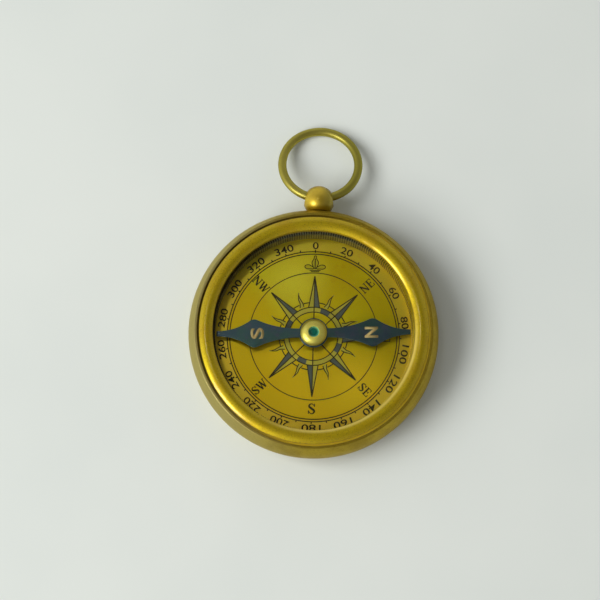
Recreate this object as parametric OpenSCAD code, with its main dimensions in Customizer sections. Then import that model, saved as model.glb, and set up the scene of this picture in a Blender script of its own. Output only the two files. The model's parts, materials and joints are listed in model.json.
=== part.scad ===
// Open-faced pocket compass of brass. A barrel-sided case holds a dial under
// glass, and a steel needle turns on a hard point above the dial. A domed bezel
// closes the case, and a wire ring hangs in a cross-drilled ball at its top.
// The origin is the centre of the flat back. +Z points out of the glass, and
// +Y points to the ball and to zero on the dial. Sizes are in millimetres.

/* [Case] */
// Widest diameter of the case
case_d = 55; // [53.5:0.1:57]
// Height of the case at its rim
case_h = 11.1; // [11:0.05:11.2]
// Outer diameter of the case at its rim and at its foot
rim_d = 52; // [51.8:0.05:52.4]
// Thickness of the side wall
wall = 0.95; // [0.8:0.05:1.05]
// Thickness of the case's floor
floor_t = 1; // [0.8:0.05:1.1]
// Rounding where the side meets the flat back
foot_round = 0.9; // [0.5:0.1:1.2]
// Rounding of the rim's outer edge
rim_round = 0.2; // [0.1:0.05:0.3]

/* [Bezel] */
// Clear opening inside the bezel
lip_d = 44; // [43.7:0.1:44.4]
// Outer diameter of the bezel's head
bezel_d = 50; // [49.9:0.1:50.2]
// Height of the bezel's crown above the back
crown_h = 12; // [11.9:0.05:12.2]
// Radius of the bezel's dome in section
dome_r = 2.42; // [2:0.01:3]
// Rounding of the bezel's two upper edges
edge_round = 0.25; // [0.1:0.05:0.4]
// Width of the open joint line between the bezel and the case
joint_w = 0.45; // [0.25:0.05:0.5]
// Diameter of the bezel's skirt, which screws into the case
skirt_d = 49.2; // [48.9:0.1:49.3]

/* [Glass] */
// Thickness of the glass
glass_t = 1.2; // [1:0.1:1.3]
// Diameter of the glass
glass_d = 47.2; // [46.8:0.1:47.4]
// Thickness of the seal above the glass
seal_t = 0.2; // [0.1:0.05:0.3]
// Wire diameter of the spring ring below the glass
spring_wire = 0.7; // [0.5:0.05:0.7]

/* [Dial] */
// Height of the dial's printed face above the back
dial_z = 3.3; // [3.1:0.05:3.5]
// Thickness of the dial
dial_t = 0.6; // [0.4:0.05:0.7]
// Clear diameter inside the reeded ring
well_d = 43.2; // [43:0.1:43.8]
// Number of upright reeds round the ring's inner wall
reeds = 256; // [120:4:360]
// Depth of each reed
reed_depth = 0.14; // [0.05:0.01:0.18]

/* [Needle] */
// Length of the needle from tip to tip
needle_len = 42.6; // [40:0.1:42.6]
// Width of the needle at its broadest
needle_w = 6.2; // [5:0.1:7.5]
// Width of the needle's blunt tips
tip_w = 1.15; // [0.6:0.05:1.4]
// Thickness of the needle
needle_t = 0.35; // [0.25:0.05:0.45]
// Height of the needle's underside above the back
needle_z = 6.1; // [5.9:0.05:6.3]
// Bearing of the needle's north end, clockwise from the ball
bearing = 87; // [0:1:359]
// Diameter of the needle's brass cap
cap_d = 5.8; // [5.4:0.1:6]
// Diameter of the jewel in the cap
jewel_d = 2.4; // [2:0.1:2.6]
// Running gap between the jewel and the point
point_gap = 0.02; // [0.01:0.01:0.05]

/* [Ball and ring] */
// Diameter of the ball
ball_d = 6.85; // [6.5:0.05:7.2]
// Distance of the ball's centre from the middle of the case
ball_y = 29.8; // [29.6:0.05:30]
// Distance from the ball's centre out to its cross hole
hole_out = 1; // [0.8:0.05:1.1]
// Diameter of the cross hole
hole_d = 2.72; // [2.7:0.01:2.78]
// Outside diameter of the ring
ring_d = 18.9; // [17:0.1:22]
// Wire diameter of the ring
ring_wire = 1.88; // [1.6:0.02:1.9]
// Angle left open where the ring's ends meet, inside the ball
ring_split = 3; // [1:0.5:6]

/* [Hidden] */
$fn = 96;
// Overshoot of a cutter past the face it cuts
past = 0.5;
// Overlap of two areas that make one section
lap = 0.01;
// Clearances of a close, an easy and a loose fit
close_fit = 0.03;
easy_fit = 0.05;
loose_fit = 0.1;

brass = "darkgoldenrod";
dial_brass = "goldenrod";
blued_steel = "darkslategray";
bright_steel = "silver";
window = [0.85, 0.92, 0.9, 0.35];
packing = "dimgray";
stone = "teal";

// Barrel side of the case: one arc from rim to foot
case_r = case_d / 2;
mid_z = case_h / 2;
bulge = case_r - rim_d / 2;
side_r = (mid_z * mid_z + bulge * bulge) / (2 * bulge);
side_x = case_r - side_r;
function inner_r(z) = side_x + sqrt(pow(side_r - wall, 2) - pow(z - mid_z, 2));

// Threaded mouth of the case and the ledge that the bezel's head sits on
mouth_r = skirt_d / 2 + easy_fit;
ledge_depth = 0.3;
ledge_z = case_h - ledge_depth;
mouth_h = 1.5;
collar_z = ledge_z - mouth_h;
collar_slope = 1;
collar_foot_z = collar_z - collar_slope;
rim_r = bezel_d / 2 + joint_w;
rim_inner_round = 0.15;

// Bezel, glass and what holds the glass, from the lip down
lip_r = lip_d / 2;
dome_x = (lip_r + bezel_d / 2) / 2;
dome_z = crown_h - dome_r;
dome_half = bezel_d / 2 - dome_x;
lip_under_z = 10.2;
glass_top = lip_under_z - seal_t;
glass_z = glass_top - glass_t;
pocket_r = glass_d / 2 + easy_fit;
seal_back = 0.15;
spring_z = glass_z - spring_wire / 2;
spring_bite = 0.1;
spring_x = pocket_r + spring_bite;
spring_groove = spring_wire / 2 + close_fit;
spring_gap = 12;
skirt_lip = 0.5;
skirt_z = spring_z - spring_wire / 2 - skirt_lip;

// Dial well: a seat ring, the dial and the reeded ring on top of it
reed_top = spring_z - spring_wire / 2 - loose_fit;
well_r = well_d / 2;
body_room = 0.15;
ring_body_r = pocket_r - body_room;
flange_r = 24.2;
flange_t = 0.8;
seat_r = mouth_r - easy_fit;
seat_inner_r = 22;
seat_rise = 0.8;

// Pivot: post through the dial, nut and washer below it, point above it
post_r = 1;
post_flange_r = 1.9;
post_flange_t = 0.5;
post_h = 1.5;
post_top = dial_z + post_h;
post_foot_r = 1.3;
post_tip_r = 0.8;
pin_r = 0.45;
pin_cone_h = 1.1;
pin_lift = 0.2;
pin_seat = dial_z + pin_lift;
nut_t = 0.95;
nut_af = 3.8;
washer_t = 0.25;
washer_r = 2.2;
dial_under = dial_z - dial_t;
nut_z = dial_under - washer_t - nut_t;
stem_z = nut_z - loose_fit;

// Needle, its leaves and its round boss
needle_top = needle_z + needle_t;
needle_turn = 90 - bearing;
boss_r = 3.25;
shaft_half = 1;
leaf_x = 13;
nose_half = 0.85;
nose_sag = 0.22;
shaft_hollow = 0.5;
point_hollow = 0.62;

// Needle cap and jewel: the cap's dome is highest round the jewel's hole
cap_r = cap_d / 2;
cap_side = 0.9;
cap_z = needle_top + cap_side;
cap_dome_r = 1.9;
cap_dome_x = 1.3;
cap_dome_z = cap_z - sqrt(pow(cap_dome_r, 2) - pow(cap_r - cap_dome_x, 2));
jewel_r = jewel_d / 2;
skirt_wall = 0.4;
eye_r = jewel_r + skirt_wall;
collar_t = 0.35;
collar_r = 2.3;
jewel_lift = 0.15;
jewel_z = needle_top + jewel_lift;
jewel_sink = 0.45;
jewel_top = cap_dome_z + cap_dome_r - jewel_sink;
jewel_dome_r = 4;
cone_r = 0.66;
cone_h = 0.65;
cone_z = jewel_z + cone_h;
point_z = cone_z - point_gap;

// Ball, its screw and the ring
ball_r = ball_d / 2;
ball_z = mid_z;
seat_cut = 0.06;
seat_y = case_r - seat_cut;
hole_r = hole_d / 2;
hole_y = ball_y + hole_out;
flare_in = 1.1;
flare_lead = 0.3;
screw_r = 1;
screw_stop = 0.4;
screw_end = hole_y - hole_r - screw_stop;
inside_room = 0.3;
washer_y = case_r - wall - inside_room;
ball_washer_t = 0.3;
ball_washer_r = 2.1;
head_r = 1.9;
head_t = 0.9;
slot_w = 0.45;
slot_depth = 0.4;
wire_r = ring_wire / 2;
ring_r = ring_d / 2 - wire_r;
// The curved wire lies evenly about the straight hole's axis
ring_drop = 0.33;
ring_reach = 2 * ring_r - ring_drop;
// The ring lies with its far side on the ground
ring_droop = asin((ball_z - wire_r) / ring_reach);

// Points on the arc from a to b that bows out by sag to the left, without b
function bow_arc(a, b, sag, n = 12) =
    let (
        chord = norm(b - a),
        u = (b - a) / chord,
        v = [-u.y, u.x],
        half = 2 * atan(2 * sag / chord),
        r = chord / (2 * sin(half))
    )
    [
        for (i = [0 : n - 1])
            let (t = half * (2 * i / n - 1))
            (a + b) / 2 + r * sin(t) * u + r * (cos(t) - cos(half)) * v
    ];

// Flat ring between two radii, from height z
module ring_plate(outer, inner, z, t) {
    translate([0, 0, z])
        difference() {
            cylinder(r = outer, h = t);
            translate([0, 0, -past])
                cylinder(r = inner, h = t + 2 * past);
        }
}

// What is cut away to round the edge between the side and the foot or the rim
module side_edge_cut(r, edge_z) {
    inward = edge_z < mid_z ? 1 : -1;
    corner = [side_x + sqrt(pow(side_r - r, 2) - pow(mid_z - r, 2)), edge_z + inward * r];
    centre = [side_x, mid_z];
    touch = centre + (corner - centre) * side_r / (side_r - r);
    difference() {
        polygon([
            corner,
            [corner.x, edge_z - inward * past],
            [case_r, edge_z - inward * past],
            2 * touch - corner
        ]);
        translate(corner)
            circle(r = r);
    }
}

// Half section of the case's outside, with its rounded foot and rim
module case_outline() {
    difference() {
        intersection() {
            union() {
                square([side_x, case_h]);
                translate([side_x, mid_z])
                    circle(r = side_r);
            }
            square([case_r + past, case_h]);
        }
        side_edge_cut(foot_round, 0);
        side_edge_cut(rim_round, case_h);
    }
}

// Half section of the space inside the case
module case_hollow() {
    intersection() {
        union() {
            square([side_x, case_h]);
            translate([side_x, mid_z])
                circle(r = side_r - wall);
        }
        translate([0, floor_t])
            square([case_r, collar_foot_z - floor_t]);
    }
    polygon([
        [0, collar_foot_z - lap],
        [inner_r(collar_foot_z), collar_foot_z],
        [mouth_r, collar_z],
        [0, collar_z + lap]
    ]);
    translate([0, collar_z - lap])
        square([mouth_r, case_h]);
    translate([0, ledge_z])
        square([rim_r, case_h]);
    // rounded inner edge of the rim
    difference() {
        translate([rim_r - lap, case_h - rim_inner_round])
            square([rim_inner_round + lap, rim_inner_round + past]);
        translate([rim_r + rim_inner_round, case_h - rim_inner_round])
            circle(r = rim_inner_round);
    }
}

module case_cup() {
    color(brass)
        difference() {
            rotate_extrude()
                difference() {
                    case_outline();
                    case_hollow();
                }
            // flat for the ball, and the hole for its screw
            translate([0, seat_y, ball_z])
                rotate([-90, 0, 0])
                    cylinder(r = ball_r, h = ball_r);
            translate([0, washer_y - past, ball_z])
                rotate([-90, 0, 0])
                    cylinder(r = screw_r + loose_fit, h = ball_r);
        }
}

// What is cut away to round the dome's edge on one side of its crown
module dome_edge_cut(side) {
    edge_x = dome_x + side * dome_half;
    rise = sqrt(pow(dome_r - edge_round, 2) - pow(dome_half - edge_round, 2));
    corner = [edge_x - side * edge_round, dome_z + rise];
    centre = [dome_x, dome_z];
    touch = centre + (corner - centre) * dome_r / (dome_r - edge_round);
    difference() {
        polygon([
            corner,
            [edge_x + side * past, corner.y],
            [edge_x + side * past, crown_h],
            2 * touch - corner
        ]);
        translate(corner)
            circle(r = edge_round);
    }
}

// Half section of the bezel: domed head, lip over the glass and skirt
module bezel_section() {
    difference() {
        union() {
            intersection() {
                translate([dome_x, dome_z])
                    circle(r = dome_r);
                translate([lip_r, ledge_z])
                    square([2 * dome_half, dome_r]);
            }
            translate([lip_r, lip_under_z])
                square([skirt_d / 2 - lip_r, ledge_z - lip_under_z + past]);
            translate([pocket_r, skirt_z])
                square([skirt_d / 2 - pocket_r, ledge_z - skirt_z]);
        }
        translate([spring_x, spring_z])
            circle(r = spring_groove);
        dome_edge_cut(-1);
        dome_edge_cut(1);
    }
}

module bezel() {
    color(brass)
        rotate_extrude()
            bezel_section();
}

module glass() {
    color(window)
        translate([0, 0, glass_z])
            cylinder(d = glass_d, h = glass_t);
}

module glass_seal() {
    color(packing)
        ring_plate(glass_d / 2, lip_r + seal_back, glass_top, seal_t);
}

module glass_spring_ring() {
    color(brass)
        rotate([0, 0, spring_gap / 2])
            rotate_extrude(angle = 360 - spring_gap)
                translate([spring_x, spring_z])
                    circle(d = spring_wire);
}

// Outline of the reeded bore: one shallow tooth for each reed
function reed_bore() = [
    for (i = [0 : 2 * reeds - 1])
        let (a = i * 180 / reeds, r = well_r + (i % 2) * reed_depth)
        r * [cos(a), sin(a)]
];

module reeded_ring() {
    color(brass)
        difference() {
            union() {
                translate([0, 0, dial_z])
                    cylinder(r = flange_r, h = flange_t);
                translate([0, 0, dial_z])
                    cylinder(r = ring_body_r, h = reed_top - dial_z);
            }
            translate([0, 0, dial_z - past])
                linear_extrude(height = reed_top - dial_z + 2 * past)
                    polygon(reed_bore());
        }
}

module dial() {
    color(dial_brass)
        ring_plate(flange_r, post_r + close_fit, dial_under, dial_t);
}

module dial_seat() {
    color(brass)
        rotate_extrude()
            difference() {
                translate([seat_inner_r, floor_t])
                    square([seat_r - seat_inner_r, dial_z + seat_rise - floor_t]);
                translate([seat_inner_r - past, dial_under])
                    square([flange_r + easy_fit - seat_inner_r + past, case_h]);
            }
}

module pivot_post() {
    color(brass)
        difference() {
            union() {
                translate([0, 0, stem_z])
                    cylinder(r = post_r, h = dial_z - stem_z);
                translate([0, 0, dial_z])
                    cylinder(r = post_flange_r, h = post_flange_t);
                translate([0, 0, dial_z + post_flange_t])
                    cylinder(r1 = post_foot_r, r2 = post_tip_r, h = post_h - post_flange_t);
            }
            translate([0, 0, pin_seat])
                cylinder(r = pin_r, h = post_top);
        }
}

module pivot_pin() {
    color(bright_steel)
        rotate_extrude()
            polygon([[0, pin_seat], [pin_r, pin_seat], [pin_r, point_z - pin_cone_h], [0, point_z]]);
}

module pivot_washer() {
    color(bright_steel)
        ring_plate(washer_r, post_r + loose_fit, dial_under - washer_t, washer_t);
}

module pivot_nut() {
    color(brass)
        difference() {
            translate([0, 0, nut_z])
                cylinder(d = nut_af / cos(30), h = nut_t, $fn = 6);
            translate([0, 0, nut_z - past])
                cylinder(r = post_r, h = nut_t + 2 * past);
        }
}

// One flank of a needle arm, from the boss out to the tip
function needle_flank() =
    let (
        root = [sqrt(boss_r * boss_r - shaft_half * shaft_half), shaft_half],
        nose_y = needle_w / 2 - nose_sag,
        rise = [leaf_x - nose_half, nose_y],
        drop = [leaf_x + nose_half, nose_y],
        tip = [needle_len / 2, tip_w / 2]
    )
    concat(
        bow_arc(root, rise, -shaft_hollow),
        bow_arc(rise, drop, nose_sag, 6),
        bow_arc(drop, tip, -point_hollow),
        [tip]
    );

// Half of the needle's outline above its axis, from the north tip to the south
function needle_edge() =
    let (
        flank = needle_flank(),
        count = len(flank),
        start = acos(flank[0].x / boss_r),
        steps = 24
    )
    concat(
        [for (i = [count - 1 : -1 : 0]) flank[i]],
        [
            for (i = [1 : steps - 1])
                let (a = start + (180 - 2 * start) * i / steps)
                boss_r * [cos(a), sin(a)]
        ],
        [for (p = flank) [-p.x, p.y]]
    );

module needle_outline() {
    upper = needle_edge();
    polygon(concat(upper, [for (p = upper) -p]));
}

module needle() {
    color(blued_steel)
        rotate([0, 0, needle_turn])
            translate([0, 0, needle_z])
                difference() {
                    linear_extrude(height = needle_t)
                        needle_outline();
                    translate([0, 0, -past])
                        cylinder(r = eye_r, h = needle_t + 2 * past);
                }
}

module needle_cap() {
    color(brass)
        rotate_extrude()
            union() {
                translate([jewel_r, needle_z - collar_t])
                    square([skirt_wall, collar_t + needle_t + lap]);
                translate([jewel_r, needle_top])
                    square([cap_r - jewel_r, cap_side]);
                intersection() {
                    translate([cap_dome_x, cap_dome_z])
                        circle(r = cap_dome_r);
                    translate([jewel_r, cap_z - lap])
                        square([cap_r - jewel_r, cap_dome_r]);
                }
            }
}

module cap_jewel() {
    color(stone)
        rotate_extrude()
            difference() {
                intersection() {
                    translate([0, jewel_z])
                        square([jewel_r, jewel_top - jewel_z]);
                    translate([0, jewel_top - jewel_dome_r])
                        circle(r = jewel_dome_r);
                }
                polygon([[0, jewel_z - lap], [cone_r, jewel_z - lap], [0, cone_z]]);
            }
}

module cap_collar() {
    color(brass)
        ring_plate(collar_r, eye_r, needle_z - collar_t, collar_t);
}

// Half section of the ball about the screw's axis, from its flat to its top
module ball_section() {
    flat = seat_y - ball_y;
    difference() {
        intersection() {
            circle(r = ball_r);
            translate([0, flat])
                square([ball_r + past, ball_d]);
        }
        translate([-past, flat - past])
            square([screw_r + past, screw_end - seat_y + past]);
    }
}

module pendant_ball() {
    color(brass)
        difference() {
            translate([0, ball_y, ball_z])
                rotate([-90, 0, 0])
                    rotate_extrude()
                        ball_section();
            translate([0, hole_y, ball_z])
                rotate([0, 90, 0])
                    cylinder(r = hole_r, h = 2 * ball_d, center = true);
            // flared mouths of the cross hole
            for (side = [-1, 1])
                translate([side * (ball_r - flare_in), hole_y, ball_z])
                    rotate([0, side * 90, 0])
                        cylinder(r1 = hole_r - flare_lead, r2 = hole_r + flare_in, h = flare_in + flare_lead);
        }
}

module ball_screw() {
    head_y = washer_y - ball_washer_t;
    color(bright_steel)
        difference() {
            union() {
                translate([0, head_y - head_t, ball_z])
                    rotate([-90, 0, 0])
                        cylinder(r = head_r, h = head_t);
                translate([0, head_y, ball_z])
                    rotate([-90, 0, 0])
                        cylinder(r = screw_r, h = screw_end - head_y);
            }
            translate([-head_r - past, head_y - head_t - past, ball_z - slot_w / 2])
                cube([2 * (head_r + past), slot_depth + past, slot_w]);
        }
}

module ball_washer() {
    color(bright_steel)
        translate([0, washer_y, ball_z])
            rotate([90, 0, 0])
                ring_plate(ball_washer_r, screw_r + loose_fit, 0, ball_washer_t);
}

module bow_ring() {
    color(brass)
        translate([0, hole_y, ball_z])
            rotate([-ring_droop, 0, 0])
                translate([0, ring_r - ring_drop, 0])
                    rotate([0, 0, -90 + ring_split / 2])
                        rotate_extrude(angle = 360 - ring_split)
                            translate([ring_r, 0])
                                circle(r = wire_r);
}

case_cup();
bezel();
glass();
glass_seal();
glass_spring_ring();
reeded_ring();
dial();
dial_seat();
pivot_post();
pivot_pin();
pivot_washer();
pivot_nut();
needle();
needle_cap();
cap_jewel();
cap_collar();
pendant_ball();
ball_screw();
ball_washer();
bow_ring();
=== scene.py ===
"""Looks of an open-faced brass pocket compass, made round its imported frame.

The dial's print, the needle's blade and letters, the finish of every metal, the
glass and the studio are made here. Lengths are in metres, in the frame's own
axes: +Z points out of the glass, +Y to the ball and to zero on the dial. Left,
right, far and lower are as seen on the dial with the ball at the top.
"""

import json
import math

import bpy
from mathutils import Matrix, Vector

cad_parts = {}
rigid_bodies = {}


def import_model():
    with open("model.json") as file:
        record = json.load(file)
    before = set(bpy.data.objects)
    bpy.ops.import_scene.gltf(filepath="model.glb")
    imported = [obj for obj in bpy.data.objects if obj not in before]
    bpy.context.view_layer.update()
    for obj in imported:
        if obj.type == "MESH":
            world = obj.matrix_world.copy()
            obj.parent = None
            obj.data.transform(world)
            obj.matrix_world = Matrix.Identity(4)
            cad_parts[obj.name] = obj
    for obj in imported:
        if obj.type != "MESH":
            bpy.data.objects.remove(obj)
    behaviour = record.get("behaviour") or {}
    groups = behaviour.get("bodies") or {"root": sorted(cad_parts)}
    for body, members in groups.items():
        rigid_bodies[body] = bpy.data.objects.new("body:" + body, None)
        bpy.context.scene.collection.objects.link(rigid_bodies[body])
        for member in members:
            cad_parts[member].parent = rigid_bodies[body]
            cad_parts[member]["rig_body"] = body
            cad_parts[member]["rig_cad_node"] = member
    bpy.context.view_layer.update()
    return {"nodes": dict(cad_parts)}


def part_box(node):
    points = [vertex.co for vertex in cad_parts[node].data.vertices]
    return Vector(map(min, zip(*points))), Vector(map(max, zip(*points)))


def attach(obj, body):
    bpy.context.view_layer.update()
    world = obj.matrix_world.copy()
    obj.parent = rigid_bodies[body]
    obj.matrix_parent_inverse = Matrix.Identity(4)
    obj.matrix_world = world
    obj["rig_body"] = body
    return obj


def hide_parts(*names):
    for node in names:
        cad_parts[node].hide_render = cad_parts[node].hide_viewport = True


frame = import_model()
nodes = frame["nodes"]

MM = 0.001
DIAL_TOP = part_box("dial")[1].z
NEEDLE_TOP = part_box("needle")[1].z

# Mesh work: how close double points are, and how finely lines and arcs are cut
MERGE = 0.001 * MM
CURVE_STEPS = 6
RING_STEPS = 180
ROSE_RING_STEPS = 120
DARK_STEPS = 12
PALE_STEPS = 24
FLAME_ARC_STEPS = 6

# Print on the dial: tops of the wash, the grey and the ink above the brass, and
# the print's turn and shift against the ball and the needle's axis
WASH_T = 0.004 * MM
GREY_T = 0.007 * MM
INK_T = 0.012 * MM
PRINT_TURN = math.radians(0.85)
PRINT_SHIFT = -0.27 * MM

# Rings of the print, each a radius and a line width
SCALE_RINGS = [(19.0 * MM, 0.24 * MM), (18.45 * MM, 0.24 * MM), (14.2 * MM, 0.2 * MM)]
ROSE_RINGS = [(6.5 * MM, 0.24 * MM), (5.4 * MM, 0.22 * MM)]
FINE_LINE = 0.25 * MM
LILY_LINE = 0.2 * MM

# Degree scale outside the rings
TICK_COUNT = 36
TICK_R = (19.1 * MM, 19.45 * MM)
ZERO_TICK_R = (18.75 * MM, 19.4 * MM)
NUMERAL_EVERY = 20
NUMERAL_R = 20.38 * MM
NUMERAL_H = 1.58 * MM
NUMERAL_STEP = 1.48 * MM
NUMERAL_GAP = 0.2 * MM
NUMERAL_BOLD = 0.013

# Letters of the main and half bearings: each word, its bearing and its turn in degrees
MAIN_LETTER_R = 16.12 * MM
MAIN_LETTER_H = 2.37 * MM
MAIN_LETTERS = [("E", 88.6, 0), ("S", 180, 0), ("W", 270, 0)]
HALF_LETTER_R = 16.37 * MM
HALF_LETTER_H = 1.92 * MM
HALF_LETTERS = [("NE", 45, 45), ("SE", 135, -45), ("SW", 225, 45), ("NW", 313.6, -45)]

# Lily at north, in millimetres: the right half of its spear and its right petal
LILY_HALF_SPEAR = [(0, 18.1), (0.32, 17.36), (0.71, 16.52), (0.49, 15.78), (0.16, 15.24)]
LILY_PETAL = [
    (0.3, 15.29), (0.84, 15.78), (1.58, 16.03), (2.27, 15.63), (1.92, 15.19), (1.08, 15.14),
]
# Its vein from foot to top, and the half length and the height of each of its bands
LILY_VEIN = (15.09 * MM, 17.46 * MM)
LILY_BANDS = [(1.23 * MM, 14.8 * MM), (0.94 * MM, 14.52 * MM)]

# Eight-pointed star, and the bearing of its points' edges at their feet in degrees
STAR_POINTS = 8
STAR_TIP_R = 13.5 * MM
STAR_BASE_R = 6.56 * MM
STAR_HALF_ANGLE = 10.6

# Flames between the star's points: the bearing of the first in degrees, then in
# millimetres their middle line, half their width at each of its points, and their
# tip, the taper of their outline up to the tip, and the arcs at their feet
FLAME_FIRST = 180 / STAR_POINTS
FLAME_SPINE = [(-0.03, 6.9), (0.16, 7.89), (0.08, 8.78), (0.18, 9.47)]
FLAME_HALF_WIDTH = [0.44, 0.27, 0.19, 0.07]
FLAME_TIP = (0.46, 10.3)
FLAME_TAPER = [1, 1, 0.9, 0.75, 0.35]
FLAME_ARC_R = 7.56 * MM
FLAME_ARC_GAP = math.radians(3.2)
FLAME_ARC_REACH = math.radians(14.6)

# Rose ring in the middle of the star: its spokes and its dark segments
SPOKE_R = (2.56 * MM, ROSE_RINGS[0][0])
DARK_COUNT = 4
DARK_SEGMENT = math.radians(20)
DARK_FIRST = 24.0

# Blade of the needle: what counts as one point, as flat and as an edge, and how far it is eased
BLADE_MERGE = 0.002 * MM
BLADE_FLAT = math.radians(1)
BLADE_EDGE = math.radians(50)
BLADE_EASE = 0.07 * MM

# Letters on the needle: the size of both, and how far out each one stands
NEEDLE_LETTER = (2.42 * MM, 2.95 * MM)
NEEDLE_LETTERS = [
    ("N", "needle_letter_north", 12.7 * MM, 0.0),
    ("S", "needle_letter_south", 12.35 * MM, math.pi),
]
NEEDLE_TURN = math.radians(3)
NEEDLE_BOLD = 0.032
LEAF_T = 0.02 * MM

# Reeded wall: its reeds and its upper end
REED_COUNT = 256
REED_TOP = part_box("reeded_ring")[1].z

# Open joint between the bezel and the case, with painted shade at its left and painted light at
# its right
JOINT_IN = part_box("bezel")[1].x
JOINT_W = 0.45 * MM
JOINT_TOP = 11.1 * MM
JOINT_FADE = 0.2 * MM


def deselect():
    """Leaves nothing selected, so that an operator acts on the new piece alone."""
    bpy.ops.object.select_all(action="DESELECT")


def pick(piece):
    """Selects one piece and makes it the active one."""
    deselect()
    piece.select_set(True)
    bpy.context.view_layer.objects.active = piece


def settle(piece):
    """Puts a piece's place, turn and scale into its mesh."""
    pick(piece)
    bpy.ops.object.transform_apply(location=True, rotation=True, scale=True)
    return piece


def named(piece, name):
    """Gives a piece and its mesh one name."""
    piece.name = name
    piece.data.name = name
    return piece


def dress(piece, finish):
    """Gives a piece one finish."""
    piece.data.materials.clear()
    piece.data.materials.append(finish)


def joined(pieces, name):
    """Joins pieces into the first one, under one name."""
    pick(pieces[0])
    for piece in pieces[1:]:
        piece.select_set(True)
    if len(pieces) > 1:
        bpy.ops.object.join()
    return named(pieces[0], name)


def apply_modifier(piece, kind, **values):
    """Adds one modifier with these values and applies it."""
    pick(piece)
    modifier = piece.modifiers.new(kind.lower(), kind)
    for key, value in values.items():
        setattr(modifier, key, value)
    bpy.ops.object.modifier_apply(modifier=modifier.name)


def outward(piece):
    """Merges double points and turns every face outwards."""
    pick(piece)
    bpy.ops.object.mode_set(mode="EDIT")
    bpy.ops.mesh.select_all(action="SELECT")
    bpy.ops.mesh.remove_doubles(threshold=MERGE)
    bpy.ops.mesh.normals_make_consistent(inside=False)
    bpy.ops.object.mode_set(mode="OBJECT")
    return piece


def raised(piece, height=INK_T):
    """Gives a flat mark its thickness, half of it sunk in what carries it."""
    apply_modifier(piece, "SOLIDIFY", thickness=2 * height, offset=0)
    return outward(piece)


def copies_round(mark, count, first=0.0):
    """The mark and its copies, evenly clockwise round the dial from a first bearing in degrees."""
    settle(mark)
    marks = [mark]
    for _ in range(1, count):
        pick(mark)
        bpy.ops.object.duplicate()
        marks.append(bpy.context.object)
    for i, copy in enumerate(marks):
        copy.rotation_euler.z = -math.radians(first + 360 * i / count)
        settle(copy)
    return marks


def ink_arc(radius, width, start=0.0, sweep=2 * math.pi, steps=RING_STEPS, height=INK_T):
    """Flat printed arc, clockwise from +Y: an edge across the line, spun round the dial's axis."""
    deselect()
    bpy.ops.mesh.primitive_plane_add(size=width)
    arc = bpy.context.object
    bpy.ops.object.mode_set(mode="EDIT")
    bpy.ops.mesh.select_all(action="DESELECT")
    bpy.ops.object.mode_set(mode="OBJECT")
    for vertex in arc.data.vertices:
        vertex.select = vertex.co.x > 0
    bpy.ops.object.mode_set(mode="EDIT")
    bpy.ops.mesh.delete(type="VERT")
    bpy.ops.mesh.select_all(action="SELECT")
    bpy.ops.transform.translate(value=(width / 2, radius, 0))
    bpy.ops.mesh.spin(steps=steps, angle=sweep, center=(0, 0, 0), axis=(0, 0, 1))
    bpy.ops.object.mode_set(mode="OBJECT")
    arc.rotation_euler.z = -start
    return raised(settle(outward(arc)), height)


def ink_patch(corners, height=INK_T):
    """Flat printed patch with these corners."""
    deselect()
    bpy.ops.mesh.primitive_circle_add(vertices=len(corners), radius=MM, fill_type="NGON")
    patch = bpy.context.object
    for vertex, (x, y) in zip(patch.data.vertices, corners):
        vertex.co = (x, y, 0)
    return raised(patch, height)


def ink_stroke(start, end, width):
    """Straight printed stroke between two points."""
    a, b = Vector(start), Vector(end)
    side = (b - a).orthogonal().normalized() * width / 2
    return ink_patch([a - side, b - side, b + side, a + side])


def north_stroke(span, width=FINE_LINE):
    """Printed stroke on the north line, between two distances from the dial's middle."""
    return ink_stroke((0, span[0]), (0, span[1]), width)


def smooth_spline(points, closed):
    """Starts a smooth flat curve through these points; gives its object and its spline."""
    deselect()
    bpy.ops.curve.primitive_bezier_curve_add()
    curve = bpy.context.object
    spline = curve.data.splines[0]
    spline.bezier_points.add(len(points) - len(spline.bezier_points))
    for knot, point in zip(spline.bezier_points, points):
        knot.co = (*point, 0)
        knot.handle_left_type = "AUTO"
        knot.handle_right_type = "AUTO"
    spline.use_cyclic_u = closed
    spline.resolution_u = CURVE_STEPS
    return curve, spline


def ink_curve(points, width, closed=False, swell=None):
    """Smooth printed line through these points; swell holds each point's share of the width."""
    line, spline = smooth_spline(points, closed)
    for knot, share in zip(spline.bezier_points, swell or [1] * len(points)):
        knot.radius = share
    line.data.bevel_depth = width / 2
    line.data.bevel_resolution = 1
    line.data.use_fill_caps = True
    bpy.ops.object.convert(target="MESH")
    line = bpy.context.object
    line.scale.z = 2 * INK_T / width
    return outward(settle(line))


def ink_fill(points):
    """Flat washed area inside a smooth closed line through these points."""
    area, _ = smooth_spline(points, True)
    area.data.dimensions = "2D"
    area.data.fill_mode = "BOTH"
    bpy.ops.object.convert(target="MESH")
    return raised(outward(bpy.context.object), WASH_T)


def text_mark(body, width, height, thickness, bold):
    """Plain lettering made to a size, centred on the origin."""
    deselect()
    bpy.ops.object.text_add()
    mark = bpy.context.object
    mark.data.body = body
    mark.data.offset = bold
    bpy.ops.object.convert(target="MESH")
    mark = bpy.context.object
    xs = [v.co.x for v in mark.data.vertices]
    ys = [v.co.y for v in mark.data.vertices]
    wide, tall = max(xs) - min(xs), max(ys) - min(ys)
    mark.scale = (width / wide, height / tall, 1)
    mark.location.x = -(min(xs) + wide / 2) * mark.scale.x
    mark.location.y = -(min(ys) + tall / 2) * mark.scale.y
    return raised(settle(mark), thickness)


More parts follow.
